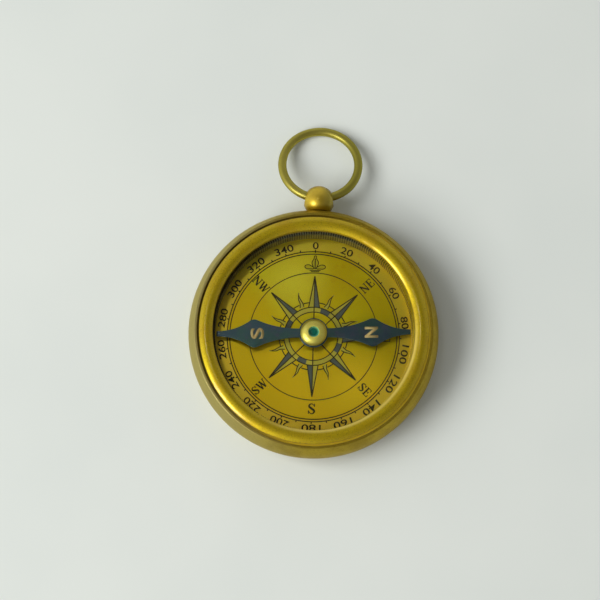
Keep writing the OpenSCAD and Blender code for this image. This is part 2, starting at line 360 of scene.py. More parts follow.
# Strokes of the serif capitals on a cap height of 1: start, end and width
STEM, HAIR, SERIF = 0.19, 0.11, 0.085
CAPITALS = {
    "N": [
        ((0.14, 0), (0.14, 1), HAIR),
        ((0.13, 0.98), (0.74, 0.02), STEM),
        ((0.74, 0), (0.74, 1), HAIR),
        ((0, 0.03), (0.28, 0.03), SERIF),
        ((0, 0.97), (0.2, 0.97), SERIF),
        ((0.6, 0.97), (0.88, 0.97), SERIF),
    ],
    "E": [
        ((0.2, 0), (0.2, 1), STEM),
        ((0.03, 0.97), (0.66, 0.97), SERIF),
        ((0.03, 0.03), (0.7, 0.03), SERIF),
        ((0.2, 0.52), (0.5, 0.52), SERIF),
        ((0.64, 1), (0.64, 0.74), SERIF),
        ((0.5, 0.64), (0.5, 0.4), SERIF),
        ((0.68, 0), (0.68, 0.28), SERIF),
    ],
    "W": [
        ((0.13, 1), (0.38, 0), STEM),
        ((0.38, 0.03), (0.6, 0.95), HAIR),
        ((0.54, 1), (0.79, 0), STEM),
        ((0.79, 0.03), (1.03, 1), HAIR),
        ((0, 0.97), (0.27, 0.97), SERIF),
        ((0.42, 0.97), (0.68, 0.97), SERIF),
        ((0.9, 0.97), (1.16, 0.97), SERIF),
    ],
    "S": [
        ((0.62, 0.98), (0.62, 0.68), SERIF),
        ((0.07, 0.02), (0.07, 0.34), SERIF),
    ],
}
CAPITAL_WIDTH = {"N": 0.88, "E": 0.72, "W": 1.16, "S": 0.7}
CAPITAL_SPACING = 0.06
# Spine of the S, from its upper end to its lower end, with the swell of its stroke
S_SPINE = [
    (0.61, 0.76), (0.36, 0.96), (0.12, 0.76), (0.35, 0.53),
    (0.6, 0.26), (0.34, 0.04), (0.08, 0.27),
]
S_SWELL = [0.4, 0.5, 0.9, 1.15, 0.95, 0.5, 0.4]


def capital(letter, size):
    """One serif capital of the dial, with its lower left corner on the origin."""
    strokes = []
    for start, end, width in CAPITALS[letter]:
        strokes.append(ink_stroke(Vector(start) * size, Vector(end) * size, width * size))
    if letter == "S":
        spine = [(x * size, y * size) for x, y in S_SPINE]
        strokes.append(ink_curve(spine, STEM * size, swell=S_SWELL))
    return joined(strokes, "capital_" + letter)


def capital_word(word, size, centre, turn):
    """Capitals side by side, turned about the word's middle and put at a place on the dial."""
    width = sum(CAPITAL_WIDTH[c] for c in word) + CAPITAL_SPACING * (len(word) - 1)
    x = -width / 2
    letters = []
    for c in word:
        letter = capital(c, size)
        letter.location = (x * size, -size / 2, 0)
        letters.append(settle(letter))
        x += CAPITAL_WIDTH[c] + CAPITAL_SPACING
    whole = joined(letters, "bearing_" + word)
    whole.rotation_euler.z = turn
    whole.location = (*centre, 0)
    return settle(whole)


def bearing_point(radius, bearing):
    """Point on the dial at a bearing in degrees, clockwise from zero."""
    angle = math.radians(bearing)
    return Vector((radius * math.sin(angle), radius * math.cos(angle)))


def in_mm(points):
    """Points given in millimetres, in metres."""
    return [(x * MM, y * MM) for x, y in points]


def mirrored(points):
    """The same points on the other side of the north line, in the same turning sense."""
    return [(-x, y) for x, y in reversed(points)]


def on_dial(marks, name, finish):
    """Joins marks into one piece of print, laid on the dial's face, that rides with the case."""
    piece = joined(marks, name)
    piece.rotation_euler.z = PRINT_TURN
    piece.location = (0, PRINT_SHIFT, DIAL_TOP)
    settle(piece)
    dress(piece, finish)
    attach(piece, "case")


def make_scale(ink):
    """Rings, ticks and numerals of the degree scale."""
    on_dial([ink_arc(r, w) for r, w in SCALE_RINGS], "dial_rings", ink)
    tick = north_stroke(TICK_R)
    zero = north_stroke(ZERO_TICK_R)
    on_dial(copies_round(tick, TICK_COUNT) + [zero], "dial_ticks", ink)
    numerals = []
    for bearing in range(0, 360, NUMERAL_EVERY):
        body = str(bearing)
        width = NUMERAL_STEP * len(body) - NUMERAL_GAP
        numeral = text_mark(body, width, NUMERAL_H, INK_T, NUMERAL_BOLD)
        numeral.location.y = NUMERAL_R
        settle(numeral)
        numeral.rotation_euler.z = -math.radians(bearing)
        numerals.append(settle(numeral))
    on_dial(numerals, "dial_numerals", ink)


def make_bearing_letters(ink):
    """Capitals of the main and half bearings; a lily stands for north."""
    words = []
    for letters, size, radius in (
        (MAIN_LETTERS, MAIN_LETTER_H, MAIN_LETTER_R),
        (HALF_LETTERS, HALF_LETTER_H, HALF_LETTER_R),
    ):
        for word, bearing, turn in letters:
            centre = bearing_point(radius, bearing)
            words.append(capital_word(word, size, centre, math.radians(turn)))
    on_dial(words, "dial_bearing_letters", ink)


def make_lily(ink, pale):
    """Lily at north: a spear between two turned petals, over a double band."""
    spear = LILY_HALF_SPEAR + mirrored(LILY_HALF_SPEAR[1:])
    shapes = [in_mm(s) for s in (spear, LILY_PETAL, mirrored(LILY_PETAL))]
    on_dial([ink_fill(s) for s in shapes], "lily_fill", pale)
    lines = [ink_curve(s, LILY_LINE, closed=True) for s in shapes]
    lines.append(north_stroke(LILY_VEIN, LILY_LINE))
    for half_length, y in LILY_BANDS:
        lines.append(ink_stroke((-half_length, y), (half_length, y), LILY_LINE))
    on_dial(lines, "lily_lines", ink)


def make_star(ink, grey, pale):
    """Eight-pointed star, each point half dark and half outlined."""
    tip, foot = (0, STAR_TIP_R), (0, STAR_BASE_R)
    dark_corner = bearing_point(STAR_BASE_R, STAR_HALF_ANGLE)
    pale_corner = bearing_point(STAR_BASE_R, -STAR_HALF_ANGLE)
    dark = ink_patch([foot, dark_corner, tip], GREY_T)
    on_dial(copies_round(dark, STAR_POINTS), "star_dark_halves", grey)
    light = ink_patch([foot, tip, pale_corner], WASH_T)
    on_dial(copies_round(light, STAR_POINTS), "star_pale_halves", pale)
    strokes = [ink_stroke(tip, end, FINE_LINE) for end in (dark_corner, pale_corner, foot)]
    on_dial(copies_round(joined(strokes, "star_line"), STAR_POINTS), "star_lines", ink)


def make_flames(ink, pale):
    """Wavy flames between the star's points, with short arcs at their feet."""
    profile = list(zip(FLAME_SPINE, FLAME_HALF_WIDTH))
    right = in_mm([(x + half, y) for (x, y), half in profile])
    left = in_mm([(x - half, y) for (x, y), half in profile])
    tip = in_mm([FLAME_TIP])
    flame = ink_fill(left + tip + right[::-1])
    on_dial(copies_round(flame, STAR_POINTS, FLAME_FIRST), "flame_fill", pale)
    lines = [ink_curve(edge + tip, FINE_LINE, swell=FLAME_TAPER) for edge in (left, right)]
    sweep = FLAME_ARC_REACH - FLAME_ARC_GAP
    for start in (-FLAME_ARC_REACH, FLAME_ARC_GAP):
        lines.append(ink_arc(FLAME_ARC_R, FINE_LINE, start, sweep, FLAME_ARC_STEPS))
    outline = joined(lines, "flame_line")
    on_dial(copies_round(outline, STAR_POINTS, FLAME_FIRST), "flame_lines", ink)


def make_rose(ink, grey, pale):
    """Ring and spokes in the middle of the star, with four dark segments."""
    outer, inner = ROSE_RINGS[0][0], ROSE_RINGS[1][0]
    middle, band = (outer + inner) / 2, outer - inner
    rings = [ink_arc(r, w, steps=ROSE_RING_STEPS) for r, w in ROSE_RINGS]
    spokes = copies_round(north_stroke(SPOKE_R), STAR_POINTS)
    on_dial(rings + spokes, "rose_lines", ink)
    dark = ink_arc(middle, band, -DARK_SEGMENT / 2, DARK_SEGMENT, DARK_STEPS, GREY_T)
    on_dial(copies_round(dark, DARK_COUNT, DARK_FIRST), "rose_dark_segments", grey)
    pale_segment = 2 * math.pi / DARK_COUNT - DARK_SEGMENT
    light = ink_arc(middle, band, DARK_SEGMENT / 2, pale_segment, PALE_STEPS, WASH_T)
    on_dial(copies_round(light, DARK_COUNT, DARK_FIRST), "rose_pale_segments", pale)


def make_blade(steel):
    """The needle's blade with its upper and lower edges eased; it stands for the plain plate."""
    deselect()
    plate = nodes["needle"]
    blade = plate.copy()
    blade.data = plate.data.copy()
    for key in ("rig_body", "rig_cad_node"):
        del blade[key]
    bpy.context.scene.collection.objects.link(blade)
    blade.parent = None
    blade.name = "needle_blade"
    pick(blade)
    bpy.ops.mesh.customdata_custom_splitnormals_clear()
    bpy.ops.object.mode_set(mode="EDIT")
    bpy.ops.mesh.select_all(action="SELECT")
    bpy.ops.mesh.remove_doubles(threshold=BLADE_MERGE)
    bpy.ops.mesh.dissolve_limited(angle_limit=BLADE_FLAT)
    bpy.ops.object.mode_set(mode="OBJECT")
    apply_modifier(
        blade, "BEVEL",
        width=BLADE_EASE, segments=2, limit_method="ANGLE", angle_limit=BLADE_EDGE,
    )
    pick(blade)
    bpy.ops.object.shade_flat()
    dress(blade, steel)
    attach(blade, "needle_set")
    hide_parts("needle")


def make_needle_letters(gilt):
    """Gilt N and S on the blade's two broad leaves, with their heads to the tips."""
    for body, name, out, turn in NEEDLE_LETTERS:
        letter = text_mark(body, *NEEDLE_LETTER, LEAF_T, NEEDLE_BOLD)
        letter.rotation_euler.z = -math.pi / 2
        settle(letter)
        letter.location.x = out
        settle(letter)
        letter.rotation_euler.z = NEEDLE_TURN + turn
        letter.location.z = NEEDLE_TOP
        settle(letter)
        dress(named(letter, name), gilt)
        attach(letter, "needle_set")


# Node helpers
def add(tree, kind, **values):
    """Adds a node; a value under a socket's name fills that input, any other sets a property."""
    made = tree.nodes.new(kind)
    for key, value in values.items():
        if key in made.inputs:
            made.inputs[key].default_value = value
        else:
            setattr(made, key, value)
    return made


def wire(tree, source, target):
    """Links an output socket to an input socket."""
    tree.links.new(source, target)


def fill(tree, value, target):
    """Fills an input socket with a constant, or links an output socket to it."""
    if isinstance(value, bpy.types.NodeSocket):
        wire(tree, value, target)
    else:
        target.default_value = value


def set_inputs(node, values):
    """Sets constants on a node's own sockets, by the sockets' names."""
    for key, value in values.items():
        node.inputs[key].default_value = value


def math_node(tree, operation, first, second=None):
    """One step of arithmetic on values or sockets; gives its output socket."""
    made = add(tree, "ShaderNodeMath", operation=operation)
    fill(tree, first, made.inputs[0])
    if second is not None:
        fill(tree, second, made.inputs[1])
    return made.outputs[0]


def times(tree, first, second):
    """Product of two values or sockets; gives its output socket."""
    return math_node(tree, "MULTIPLY", first, second)


def plus(tree, first, second):
    """Sum of two values or sockets; gives its output socket."""
    return math_node(tree, "ADD", first, second)


def minus(tree, first, second):
    """What the second value or socket leaves of the first; gives its output socket."""
    return math_node(tree, "SUBTRACT", first, second)


def map_range(tree, value, low, high, to_low=0.0, to_high=1.0, curve="SMOOTHSTEP"):
    """Maps a socket's range to another, clamped; gives its output socket."""
    made = add(tree, "ShaderNodeMapRange", interpolation_type=curve)
    wire(tree, value, made.inputs["Value"])
    set_inputs(made, {"From Min": low, "From Max": high, "To Min": to_low, "To Max": to_high})
    return made.outputs["Result"]


def mix_colour(tree, share, first, second):
    """Mixes two colours or colour sockets by a share socket; gives its output socket."""
    made = add(tree, "ShaderNodeMix", data_type="RGBA")
    wire(tree, share, made.inputs["Factor"])
    for value, target in zip((first, second), [s for s in made.inputs if s.type == "RGBA"]):
        fill(tree, value, target)
    return next(s for s in made.outputs if s.type == "RGBA")


def noise(tree, vector, scale, detail=3.0, roughness=0.55):
    """Noise at a vector socket, its scale a value or a socket; gives its output socket."""
    made = add(tree, "ShaderNodeTexNoise", Detail=detail, Roughness=roughness)
    wire(tree, vector, made.inputs["Vector"])
    fill(tree, scale, made.inputs["Scale"])
    return made.outputs["Fac"]


def brushed_noise(tree, vector, grain):
    """Noise drawn out along a brushed grain, given as cells per metre on each axis."""
    made = add(tree, "ShaderNodeMapping", Scale=grain)
    wire(tree, vector, made.inputs["Vector"])
    return noise(tree, made.outputs[0], 1.0)


def axes(tree, vector):
    """The X, Y and Z sockets of a vector socket."""
    split = add(tree, "ShaderNodeSeparateXYZ")
    wire(tree, vector, split.inputs[0])
    return split.outputs


def measured(tree, vector, operation, fixed):
    """A vector socket measured against a fixed direction or point; gives its output socket."""
    made = add(tree, "ShaderNodeVectorMath", operation=operation)
    wire(tree, vector, made.inputs[0])
    made.inputs[1].default_value = fixed
    return made.outputs["Value"]


def along(tree, vector, direction):
    """How far a vector socket reaches in a direction; gives its output socket."""
    return measured(tree, vector, "DOT_PRODUCT", direction)


def axis_distance(tree, vector):
    """Distance of a place from the needle's axis, and its height; gives both sockets."""
    x, y, z = axes(tree, vector)
    squares = plus(tree, times(tree, x, x), times(tree, y, y))
    return math_node(tree, "SQRT", squares), z


def reed_wave(tree, vector):
    """Place between the reeds, 0 on a crest and 1 in a groove; gives its socket."""
    x, y, _ = axes(tree, vector)
    turn = math_node(tree, "DIVIDE", math_node(tree, "ARCTAN2", y, x), math.pi / REED_COUNT)
    return math_node(tree, "PINGPONG", turn, 1.0)


# Node groups
VALUE, COLOUR, VECTOR = "NodeSocketFloat", "NodeSocketColor", "NodeSocketVector"


def new_group(name, inputs, outputs):
    """Starts a node group with named sockets; gives the tree and its two end nodes."""
    tree = bpy.data.node_groups.new(name, "ShaderNodeTree")
    for label, kind in inputs:
        tree.interface.new_socket(name=label, in_out="INPUT", socket_type=kind)
    for label, kind in outputs:
        tree.interface.new_socket(name=label, in_out="OUTPUT", socket_type=kind)
    return tree, tree.nodes.new("NodeGroupInput"), tree.nodes.new("NodeGroupOutput")


# How much finer the specks of tarnish are than its clouds, and the share of each
SPECK_FINENESS = 9.0
CLOUD_SHARE = 0.75
SPECK_SHARE = 0.5


def build_tarnish():
    """Uneven ageing of bare metal: a colour between bright and dull, and its mask."""
    tree, start, end = new_group(
        "tarnish",
        [
            ("Vector", VECTOR), ("Scale", VALUE), ("Bright", COLOUR), ("Dull", COLOUR),
            ("Amount", VALUE),
        ],
        [("Color", COLOUR), ("Mask", VALUE)],
    )
    place, scale = start.outputs["Vector"], start.outputs["Scale"]
    broad = noise(tree, place, scale, 4.0, 0.6)
    fine = noise(tree, place, times(tree, scale, SPECK_FINENESS), 2.0, 0.7)
    clouds = times(tree, map_range(tree, broad, 0.36, 0.68), CLOUD_SHARE)
    specks = times(tree, map_range(tree, fine, 0.55, 0.75), SPECK_SHARE)
    mask = times(tree, plus(tree, clouds, specks), start.outputs["Amount"])
    colour = mix_colour(tree, mask, start.outputs["Bright"], start.outputs["Dull"])
    wire(tree, colour, end.inputs["Color"])
    wire(tree, mask, end.inputs["Mask"])
    return tree


def build_lathe_marks():
    """Fine rings left by turning about the case's axis: a height from 0 to 1."""
    tree, start, end = new_group(
        "lathe_marks", [("Vector", VECTOR), ("Pitch", VALUE)], [("Height", VALUE)]
    )
    radius, z = axis_distance(tree, start.outputs["Vector"])
    line = add(tree, "ShaderNodeCombineXYZ")
    wire(tree, math_node(tree, "DIVIDE", radius, start.outputs["Pitch"]), line.inputs["X"])
    wire(tree, math_node(tree, "DIVIDE", z, start.outputs["Pitch"]), line.inputs["Y"])
    wire(tree, noise(tree, line.outputs[0], 1.0, 2.0), end.inputs["Height"])
    return tree


# Soft edge of the joint, out from its middle, and where its painted shade and its
# painted light start and are full in a leaning X
JOINT_EDGE = (0.6 * JOINT_W, 0.45 * JOINT_W)
JOINT_LEAN = 0.35
JOINT_SHADE_SIDE = (4 * MM, -24 * MM)
JOINT_LIGHT_SIDE = (-8 * MM, 10 * MM)


def build_joint_grime():
    """Joint round the bezel: masks of painted shade at the left and of painted light at the right.
    """
    tree, start, end = new_group(
        "joint_light_and_shade", [("Vector", VECTOR)], [("Mask", VALUE), ("Lit", VALUE)]
    )
    radius, z = axis_distance(tree, start.outputs["Vector"])
    off = math_node(tree, "ABSOLUTE", minus(tree, radius, JOINT_IN + JOINT_W / 2))
    across = map_range(tree, off, *JOINT_EDGE)
    down = map_range(tree, z, JOINT_TOP, JOINT_TOP - JOINT_FADE)
    groove = times(tree, across, down)
    x, y, _ = axes(tree, start.outputs["Vector"])
    side = minus(tree, x, times(tree, y, JOINT_LEAN))
    shaded_left = map_range(tree, side, *JOINT_SHADE_SIDE)
    blend_share = map_range(tree, side, *JOINT_LIGHT_SIDE)
    wire(tree, times(tree, groove, shaded_left), end.inputs["Mask"])
    wire(tree, times(tree, groove, blend_share), end.inputs["Lit"])
    return tree


# Directions of the scuffs: the turn of each, and how far it is drawn out
SCUFF_TILT = (0.3, 0.2)
SCUFF_WAYS = [(0.5, 0.05), (-0.9, 0.07)]


def build_scuffs():
    """Fine handling scratches in two directions: a mask of thin lines."""
    tree, start, end = new_group(
        "scuffs", [("Vector", VECTOR), ("Scale", VALUE)], [("Mask", VALUE)]
    )
    masks = []
    for turn, stretch in SCUFF_WAYS:
        laid = add(
            tree, "ShaderNodeMapping", Rotation=(*SCUFF_TILT, turn), Scale=(1.0, stretch, 1.0)
        )
        wire(tree, start.outputs["Vector"], laid.inputs["Vector"])
        lines = noise(tree, laid.outputs[0], start.outputs["Scale"], 2.0, 0.5)
        masks.append(map_range(tree, lines, 0.66, 0.74))
    wire(tree, math_node(tree, "MAXIMUM", *masks), end.inputs["Mask"])
    return tree


TARNISH = build_tarnish()
LATHE_MARKS = build_lathe_marks()
SCUFFS = build_scuffs()
JOINT_LIGHT_AND_SHADE = build_joint_grime()


def place_group(tree, group, vector, **values):
    """Places a node group on a vector socket with its own values."""
    made = add(tree, "ShaderNodeGroup", node_tree=group)
    wire(tree, vector, made.inputs["Vector"])
    set_inputs(made, values)
    return made


def tarnish(tree, vector, scale, bright, dull, amount):
    """Places the tarnish with its own values; gives its colour and its mask."""
    values = {"Scale": scale, "Bright": bright, "Dull": dull, "Amount": amount}
    aged = place_group(tree, TARNISH, vector, **values)
    return aged.outputs["Color"], aged.outputs["Mask"]


# Finishes: grains are noise cells per metre and colours are linear. First white, and
# the depths of tool marks and of a worn skin
WHITE = (1, 1, 1, 1)
TOOL_DEPTH = 0.01 * MM
SKIN_DEPTH = 0.02 * MM


def new_material(name):
    """Starts a material; gives it with its tree, its Principled shader and Object coordinates."""
    made = bpy.data.materials.new(name)
    made.use_nodes = True
    tree = made.node_tree
    coords = add(tree, "ShaderNodeTexCoord")
    return made, tree, tree.nodes["Principled BSDF"], coords.outputs["Object"]


def feed(tree, shader, colour, roughness):
    """Feeds a colour socket and a roughness socket to a shader."""
    wire(tree, colour, shader.inputs["Base Color"])
    wire(tree, roughness, shader.inputs["Roughness"])


def bump(tree, shader, height, strength, distance):
    """Raises a height socket on a shader's normal."""
    made = add(tree, "ShaderNodeBump", Strength=strength, Distance=distance)
    wire(tree, height, made.inputs["Height"])
    wire(tree, made.outputs["Normal"], shader.inputs["Normal"])


# Side where a highlight is painted on the bezel's lip and on the reeded wall: its direction, and
# where the highlight starts and is full
HIGHLIGHT_SIDE = (0.6, -0.8, 0)
HIGHLIGHT_REACH = (8 * MM, 18 * MM)


def lower_right(tree, vector):
    """Share of the lower right side, where a highlight is painted; gives its socket."""
    return map_range(tree, along(tree, vector, HIGHLIGHT_SIDE), *HIGHLIGHT_REACH)


# Turned brass: its grains, the share and the shade of its pits, where and how much a
# paler painted reflection covers the left side in X, the edge round the glass by
# radius that gets a painted highlight, and the colours of the joint's painted light
# and painted shade
TURNED_CLOUDS = 160.0
TURNED_SCUFFS = 2600.0
TURNED_PITS = 4200.0
PIT_SHARE = 0.65
PIT_SHADE = 0.5
LEFT_SHEEN_X = (2 * MM, -24 * MM)
LEFT_SHEEN_SHARE = 0.75
LIP_R = 22 * MM
LIP_EDGE = (LIP_R + 0.9 * MM, LIP_R + 0.3 * MM)
JOINT_LIGHT_COLOUR = (0.95, 0.72, 0.06, 1)
JOINT_SHADE_COLOUR = (0.085, 0.06, 0.006, 1)


def turned_brass(
    name, bright, dull, rough, pitch, lacquer=0.0, edge=WHITE, left_sheen=None, lip_highlight=None
):
    """Turned brass, finely pitted, with painted shade in the joint at the left and painted
    light in it at the right; rough is its least and greatest roughness.

    edge tints what is seen at a slant. A colour given for the left side paints a paler
    reflection there, and one given for the lip paints a highlight on the edge round the
    glass at the lower right.
    """
    made, tree, shader, place = new_material(name)
    metal, age = tarnish(tree, place, TURNED_CLOUDS, bright, dull, amount=0.95)
    rings = place_group(tree, LATHE_MARKS, place, Pitch=pitch).outputs["Height"]
    scuffs = place_group(tree, SCUFFS, place, Scale=TURNED_SCUFFS).outputs["Mask"]
    joint_shading = place_group(tree, JOINT_LIGHT_AND_SHADE, place)
    pits = map_range(tree, noise(tree, place, TURNED_PITS, 2.0), 0.5, 0.75, 0.0, PIT_SHARE)
    skin = mix_colour(tree, pits, metal, tuple(PIT_SHADE * c for c in dull))
    # Painted reflection: the brass grows paler towards the left
    if left_sheen:
        x, _, _ = axes(tree, place)
        left = map_range(tree, x, *LEFT_SHEEN_X, 0.0, LEFT_SHEEN_SHARE)
        skin = mix_colour(tree, left, skin, left_sheen)
    # Painted highlight on the edge round the glass, at the lower right
    if lip_highlight:
        radius, _ = axis_distance(tree, place)
        near = map_range(tree, radius, *LIP_EDGE)
        skin = mix_colour(tree, times(tree, near, lower_right(tree, place)), skin, lip_highlight)
    # Painted light in the joint at the right, painted shade in it at the left
    lit_joint = mix_colour(tree, joint_shading.outputs["Lit"], skin, JOINT_LIGHT_COLOUR)
    colour = mix_colour(tree, joint_shading.outputs["Mask"], lit_joint, JOINT_SHADE_COLOUR)
    uneven = plus(tree, plus(tree, age, times(tree, rings, 0.5)), times(tree, scuffs, 0.35))
    feed(tree, shader, colour, map_range(tree, uneven, 0.1, 1.2, *rough))
    set_inputs(shader, {"Metallic": 1.0, "Specular Tint": edge})
    set_inputs(shader, {"Coat Weight": lacquer, "Coat Roughness": 0.17})
    scored = minus(tree, rings, times(tree, scuffs, 0.6))
    bump(tree, shader, scored, strength=0.2, distance=TOOL_DEPTH)
    return made


# Satin brass: how much finer its grain is than its clouds, and the share of painted
# shade on its right side
SATIN_FINENESS = 2.2
SHADED_SIDE_SHARE = 0.85


def satin_brass(name, bright, dull, rough, scale, lacquer=0.0, edge=WHITE, shaded_side=None):
    """Brass with a soft worn skin and no tool marks; edge tints what is seen at a slant.

    The last argument paints shade towards the right: where it starts and is full in X, and
    its colour.
    """
    made, tree, shader, place = new_material(name)
    colour, age = tarnish(tree, place, scale, bright, dull, amount=0.6)
    # Painted shade towards the right
    if shaded_side:
        start, full, tint = shaded_side
        x, _, _ = axes(tree, place)
        right = map_range(tree, x, start, full, 0.0, SHADED_SIDE_SHARE)
        colour = mix_colour(tree, right, colour, tint)
    feed(tree, shader, colour, map_range(tree, age, 0.0, 1.0, *rough))
    set_inputs(shader, {"Metallic": 1.0, "Specular Tint": edge})
    set_inputs(shader, {"Coat Weight": lacquer, "Coat Roughness": 0.25})
    grain = noise(tree, place, SATIN_FINENESS * scale, 2.0)
    bump(tree, shader, grain, strength=0.08, distance=SKIN_DEPTH)
    return made


# Reeded wall: its grains, its roughness, where its brighter brown of painted light grows
# and where its end face is lit in X, its far side in Y, its end face in Z, its grooves with
# painted shade in the reeds' wave, and its colours
REED_CLOUDS = 260.0
REED_GRAIN = 570.0
REED_ROUGH = (0.5, 0.65)
REED_LIT_BROWN_X = (5 * MM, 16 * MM)
REED_LIT_BROWN_SHARE = 0.9
REED_LIT_X = (-16 * MM, -6 * MM)
REED_FAR_Y = (9 * MM, 17 * MM)
REED_END_Z = (REED_TOP - 0.06 * MM, REED_TOP - 0.02 * MM)
REED_GROOVE = (0.3, 0.8)
REED_GROOVE_SHADE_SHARE = 0.85
REED_BRIGHT = (0.34, 0.31, 0.13, 1)
REED_DULL = (0.2, 0.175, 0.075, 1)
REED_END_SHADE = (0.1, 0.085, 0.03, 1)
REED_END_LIT = (0.25, 0.245, 0.15, 1)
REED_LIT_BROWN = (0.62, 0.44, 0.025, 1)
REED_HIGHLIGHT = (1.0, 0.76, 0.09, 1)
REED_GROOVE_SHADE = (0.03, 0.026, 0.012, 1)


def reed_brass(name):
    """Tarnished brass of the reeded wall, with painted shade between the reeds, a brighter
    brown of painted light to the right and a painted highlight at the lower right.

    Its end face has painted shade, painted light on the far side, and no groove shade elsewhere.
    """
    made, tree, shader, place = new_material(name)
    wall, age = tarnish(tree, place, REED_CLOUDS, REED_BRIGHT, REED_DULL, amount=0.6)
    x, y, z = axes(tree, place)
    lit_brown = map_range(tree, x, *REED_LIT_BROWN_X, 0.0, REED_LIT_BROWN_SHARE)
    far_side = map_range(tree, y, *REED_FAR_Y)
    lit = times(tree, far_side, map_range(tree, x, *REED_LIT_X))
    # Painted shade on the end face, with painted light on its far side
    end = mix_colour(tree, lit, REED_END_SHADE, REED_END_LIT)
    end_face = map_range(tree, z, *REED_END_Z)
    metal = mix_colour(tree, end_face, wall, end)
    # Painted light: a brighter brown to the right, with a painted highlight at the lower right
    right = mix_colour(tree, lower_right(tree, place), REED_LIT_BROWN, REED_HIGHLIGHT)
    right_lit_wall = mix_colour(tree, lit_brown, metal, right)
    # Painted shade in the grooves between the reeds, left off the end face except on its far side
    groove = map_range(tree, reed_wave(tree, place), *REED_GROOVE, 0.0, REED_GROOVE_SHADE_SHARE)
    unlined = times(tree, end_face, minus(tree, 1.0, far_side))
    groove_shade = times(tree, groove, minus(tree, 1.0, unlined))
    colour = mix_colour(tree, groove_shade, right_lit_wall, REED_GROOVE_SHADE)
    feed(tree, shader, colour, map_range(tree, age, 0.0, 1.0, *REED_ROUGH))
    set_inputs(shader, {"Metallic": 1.0})
    grain = noise(tree, place, REED_GRAIN, 2.0)
    bump(tree, shader, grain, strength=0.08, distance=SKIN_DEPTH)
    return made


# Dial plate: its grains, roughness and colours, the slant, the waves and the span
# of its warm side, and the edge of its outer band by radius
DIAL_CLOUDS = 75.0
DIAL_WAVES = 70.0
DIAL_BRUSH = (60.0, 2600.0, 1.0)
DIAL_ROUGH = (0.3, 0.4)
DIAL_BRIGHT = (0.72, 0.6, 0.012, 1)
DIAL_DULL = (0.66, 0.45, 0.01, 1)
DIAL_WARM = (0.92, 0.58, 0.02, 1)
DIAL_OUTER = (0.8, 0.6, 0.14, 1)
WARM_SLANT = 0.45
WARM_WAVE = 14 * MM
WARM_SPAN = (16 * MM, -10 * MM)
WARM_SHARE = 0.8
OUTER_EDGE = (SCALE_RINGS[0][0] - 0.1 * MM, SCALE_RINGS[0][0] + 0.1 * MM)
OUTER_SHARE = 0.25
# Its patina, and a painted reflection of the window in the third patch at the upper left: centre
# and radius of each soft patch in millimetres, its colour and its strength
DIAL_PATINA_AND_SHEEN = [
    ((-14, -12), 13, (0.72, 0.48, 0.01, 1), 0.7),
    ((15, 6), 11, (0.62, 0.46, 0.008, 1), 0.8),
    # painted reflection of the window, not patina
    ((-5, 12.5), 11, (0.92, 0.8, 0.06, 1), 0.75),
    ((-16, 5.5), 8, (0.8, 0.52, 0.014, 1), 0.75),
    ((11, -10.5), 11, (1.0, 0.68, 0.025, 1), 0.9),
]


def dial_plate(name):
    """Bright brushed dial brass: warm below, patchy with age, with a painted reflection at the
    upper left, and paler under the numerals.
    """
    made, tree, shader, place = new_material(name)
    metal, _ = tarnish(tree, place, DIAL_CLOUDS, DIAL_BRIGHT, DIAL_DULL, amount=1.0)
    x, y, _ = axes(tree, place)
    lean = plus(tree, y, times(tree, x, WARM_SLANT))
    wavy = plus(tree, lean, times(tree, noise(tree, place, DIAL_WAVES), WARM_WAVE))
    warm = map_range(tree, wavy, *WARM_SPAN, 0.0, WARM_SHARE)
    plate = mix_colour(tree, warm, metal, DIAL_WARM)
    for (patch_x, patch_y), reach, colour, strength in DIAL_PATINA_AND_SHEEN:
        away = measured(tree, place, "DISTANCE", (patch_x * MM, patch_y * MM, DIAL_TOP))
        patch = map_range(tree, away, reach * MM, 0.0, 0.0, strength)
        plate = mix_colour(tree, patch, plate, colour)
    radius, _ = axis_distance(tree, place)
    outer = map_range(tree, radius, *OUTER_EDGE, 0.0, OUTER_SHARE)
    plate = mix_colour(tree, outer, plate, DIAL_OUTER)
    hair = brushed_noise(tree, place, DIAL_BRUSH)
    feed(tree, shader, plate, map_range(tree, hair, 0.2, 0.8, *DIAL_ROUGH))
    set_inputs(shader, {"Metallic": 1.0})
    bump(tree, shader, hair, strength=0.15, distance=TOOL_DEPTH)
    return made


# Ink: its grain, and its roughness where it is whole and where it is thin
INK_SPECKS = 420.0
INK_ROUGH = (0.5, 0.36)


def print_ink(name, strong, thin, metallic=0.0):
    """Printed ink, a little thin and uneven where the brass grins through."""
    made, tree, shader, place = new_material(name)
    colour, blend_share = tarnish(tree, place, INK_SPECKS, strong, thin, amount=0.9)
    feed(tree, shader, colour, map_range(tree, blend_share, 0.0, 1.0, *INK_ROUGH))
    set_inputs(shader, {"Metallic": metallic, "Specular IOR Level": 0.2})
    return made


# Blued steel: its grains, its roughness, and the slate, the green and the violet in it
STEEL_HEAT = 170.0
STEEL_PATCHES = 420.0
STEEL_SCUFFS = 2200.0
STEEL_BRUSH = (300.0, 4200.0, 1.0)
STEEL_ROUGH = (0.3, 0.42)
STEEL_SLATE = (0.07, 0.11, 0.14, 1)
STEEL_GREEN = (0.065, 0.125, 0.11, 1)
STEEL_VIOLET = (0.10, 0.10, 0.155, 1)


